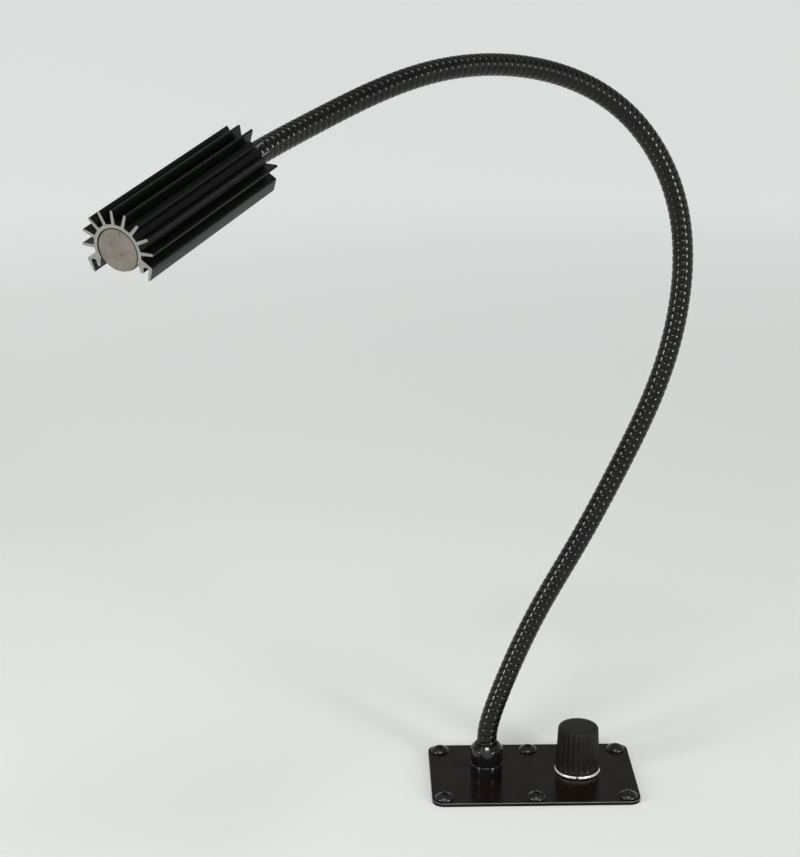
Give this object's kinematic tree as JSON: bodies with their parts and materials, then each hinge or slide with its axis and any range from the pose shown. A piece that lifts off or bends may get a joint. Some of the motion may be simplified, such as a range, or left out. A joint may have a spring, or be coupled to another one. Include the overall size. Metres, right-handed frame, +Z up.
{
  "type": "gooseneck desk lamp",
  "caption": "Plate-mounted gooseneck lamp: a coiled neck with a finned lamp head, and a plate with a dimmer knob and mounting screws.",
  "frame": {"origin": "centre of the base plate's underside, on the surface that the lamp is screwed to", "axes": "+Z up out of the surface, +X along the plate from the neck to the knob, +Y to the back"},
  "size_m": [0.2269, 0.2082, 0.3359],
  "materials": {
    "satin_black": "satin black powder coat on steel plate",
    "black_screw": "black oxide on steel",
    "gloss_black": "glossy black enamel on turned steel",
    "coil_black": "glossy black enamel on coiled steel wire",
    "knob_plastic": "black moulded plastic, semi-gloss",
    "bright_ring": "bright turned aluminium",
    "anodised_black": "black anodised extrusion with bare sawn ends",
    "turned_aluminium": "turned aluminium, dull grey with a warm tint",
    "brass": "turned brass",
    "zinc_steel": "zinc-plated steel",
    "contact_metal": "tinned brass",
    "phenolic": "brown phenolic board",
    "circuit_board": "green glass-epoxy board",
    "black_plastic": "black moulded plastic",
    "capacitor_sleeve": "dark blue sleeve on an aluminium can",
    "lead_jacket": "black two-core lead",
    "light_board": "white-faced metal-core board",
    "emitter": "yellow phosphor on white ceramic",
    "clear_window": "clear window strip"
  },
  "bodies": {
    "base": {"base_plate": "satin_black", "mounting_screws": "black_screw", "collar_foot": "gloss_black", "neck_collar": "gloss_black", "neck_nipple": "brass", "nipple_washer": "zinc_steel", "nipple_nut": "brass", "dimmer_bushing": "zinc_steel", "dimmer_can": "zinc_steel", "dimmer_track": "phenolic", "dimmer_terminals": "contact_metal", "dimmer_nut": "zinc_steel", "board_standoffs": "zinc_steel", "board_screws": "zinc_steel", "driver_board": "circuit_board", "driver_inductor": "black_plastic", "driver_capacitors": "capacitor_sleeve", "driver_chips": "black_plastic", "power_jack": "black_plastic", "power_jack_pin": "contact_metal", "neck_01": "coil_black", "lead_01": "lead_jacket"},
    "knob": {"knob": "knob_plastic", "knob_ring": "bright_ring", "knob_insert": "brass", "knob_set_screw": "black_screw", "dimmer_shaft": "zinc_steel", "dimmer_wiper": "contact_metal"},
    "neck_part_02": {"neck_02": "coil_black", "lead_02": "lead_jacket"},
    "neck_part_03": {"neck_03": "coil_black", "lead_03": "lead_jacket"},
    "neck_part_04": {"neck_04": "coil_black", "lead_04": "lead_jacket"},
    "neck_part_05": {"neck_05": "coil_black", "lead_05": "lead_jacket"},
    "neck_part_06": {"neck_06": "coil_black", "lead_06": "lead_jacket"},
    "neck_part_07": {"neck_07": "coil_black", "lead_07": "lead_jacket"},
    "neck_part_08": {"neck_08": "coil_black", "lead_08": "lead_jacket"},
    "neck_part_09": {"neck_09": "coil_black", "lead_09": "lead_jacket"},
    "neck_part_10": {"neck_10": "coil_black", "lead_10": "lead_jacket"},
    "neck_part_11": {"neck_11": "coil_black", "lead_11": "lead_jacket"},
    "head": {"neck_12": "coil_black", "lead_12": "lead_jacket", "heat_sink": "anodised_black", "lamp_core": "turned_aluminium", "neck_end_sleeve": "zinc_steel", "core_set_screw": "black_screw", "led_board": "light_board", "led_emitters": "emitter", "led_board_screws": "zinc_steel", "lens": "clear_window"}
  },
  "joints": [
    {"name": "neck_bend_01", "type": "hinge", "parent": "base", "child": "neck_part_02", "pos_m": [-0.00997, 0.00405, 0.05032], "axis": [0.5985, -0.7899, -0.1335], "range_deg": [-12, 12]},
    {"name": "neck_bend_02", "type": "hinge", "parent": "neck_part_02", "child": "neck_part_03", "pos_m": [0.00895, 0.00805, 0.08904], "axis": [0.6919, 0.5933, -0.4115], "range_deg": [-12, 12]},
    {"name": "neck_bend_03", "type": "hinge", "parent": "neck_part_03", "child": "neck_part_04", "pos_m": [0.02952, 0.01195, 0.12693], "axis": [0.5752, -0.7983, -0.1788], "range_deg": [-12, 12]},
    {"name": "neck_bend_04", "type": "hinge", "parent": "neck_part_04", "child": "neck_part_05", "pos_m": [0.04807, 0.01741, 0.16568], "axis": [0.7107, 0.6008, -0.3659], "range_deg": [-12, 12]},
    {"name": "neck_bend_05", "type": "hinge", "parent": "neck_part_05", "child": "neck_part_06", "pos_m": [0.05933, 0.02217, 0.20712], "axis": [0.6237, -0.7817, -0.0033], "range_deg": [-12, 12]},
    {"name": "neck_bend_06", "type": "hinge", "parent": "neck_part_06", "child": "neck_part_07", "pos_m": [0.05688, 0.02462, 0.24998], "axis": [0.7883, 0.5698, 0.2322], "range_deg": [-12, 12]},
    {"name": "neck_bend_07", "type": "hinge", "parent": "neck_part_07", "child": "neck_part_08", "pos_m": [0.03513, 0.01935, 0.28638], "axis": [0.4216, -0.9034, 0.0784], "range_deg": [-12, 12]},
    {"name": "neck_bend_08", "type": "hinge", "parent": "neck_part_08", "child": "neck_part_09", "pos_m": [0.00159, 0.00154, 0.30627], "axis": [0.2788, 0.069, 0.9579], "range_deg": [-12, 12]},
    {"name": "neck_bend_09", "type": "hinge", "parent": "neck_part_09", "child": "neck_part_10", "pos_m": [-0.03226, -0.02459, 0.31227], "axis": [0.638, -0.7606, -0.1201], "range_deg": [-12, 12]},
    {"name": "neck_bend_10", "type": "hinge", "parent": "neck_part_10", "child": "neck_part_11", "pos_m": [-0.06474, -0.05278, 0.30789], "axis": [-0.0817, -0.2102, 0.9743], "range_deg": [-12, 12]},
    {"name": "neck_bend_11", "type": "hinge", "parent": "neck_part_11", "child": "head", "pos_m": [-0.0943, -0.08282, 0.298], "axis": [0.7798, -0.6222, -0.0693], "range_deg": [-12, 12]},
    {"name": "knob_turn", "type": "hinge", "parent": "base", "child": "knob", "pos_m": [0.02, 0.002, 0.0016], "axis": [0, 0, 1], "range_deg": [-150, 150]}
  ]
}
